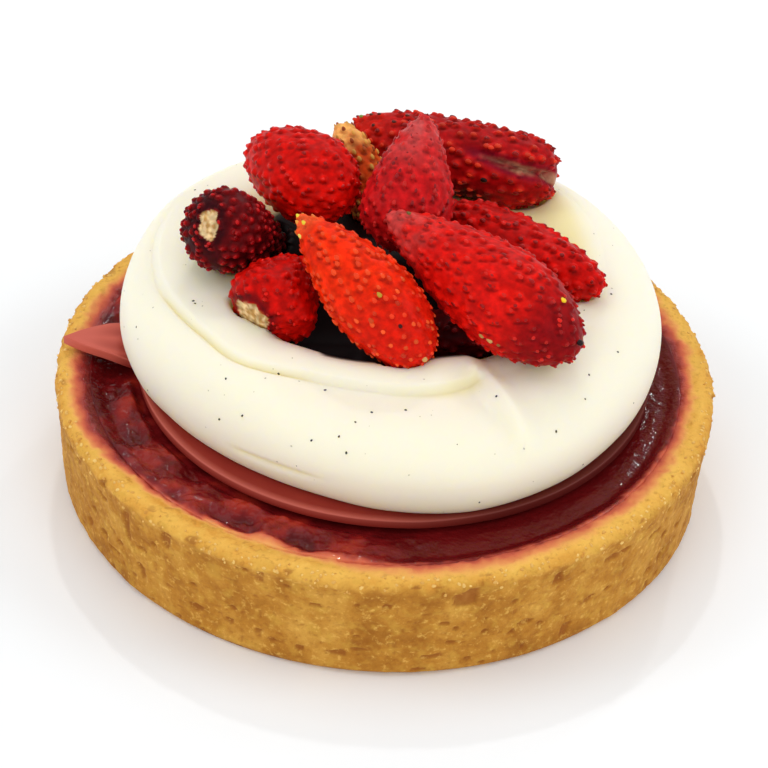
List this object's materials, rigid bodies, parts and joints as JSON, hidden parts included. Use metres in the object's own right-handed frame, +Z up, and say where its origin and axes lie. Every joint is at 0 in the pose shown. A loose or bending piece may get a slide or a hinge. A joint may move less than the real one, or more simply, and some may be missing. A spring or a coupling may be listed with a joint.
{
  "type": "strawberry tart",
  "caption": "Round single-serving tart: shortcrust shell with jam, a thin pointed disc, a ring of vanilla cream with a folded lip and a heap of small knobbly strawberries.",
  "frame": {"origin": "centre of the flat underside of the crust", "axes": "+Z up; +Y away from the viewer of the picture; the disc's pointed corner is at -X"},
  "size_m": [0.08, 0.08, 0.043],
  "materials": {
    "crust": "baked, crumbly, matt",
    "jam": "wet gloss",
    "disc": "satin",
    "cream": "smooth satin",
    "berry_red": "knobbly, soft gloss",
    "berry_dark": "knobbly, soft gloss",
    "berry_pale": "knobbly, soft gloss"
  },
  "bodies": {
    "root": {"crust": "crust", "jam": "jam", "disc": "disc", "cream": "cream", "berry_back_left": "berry_red", "berry_left_dark": "berry_dark", "berry_left_front": "berry_red", "berry_front": "berry_red", "berry_right_front": "berry_red", "berry_right": "berry_red", "berry_middle": "berry_red", "berry_back_right": "berry_red", "berry_back_pale": "berry_pale", "berry_under_dark": "berry_dark"}
  },
  "joints": []
}
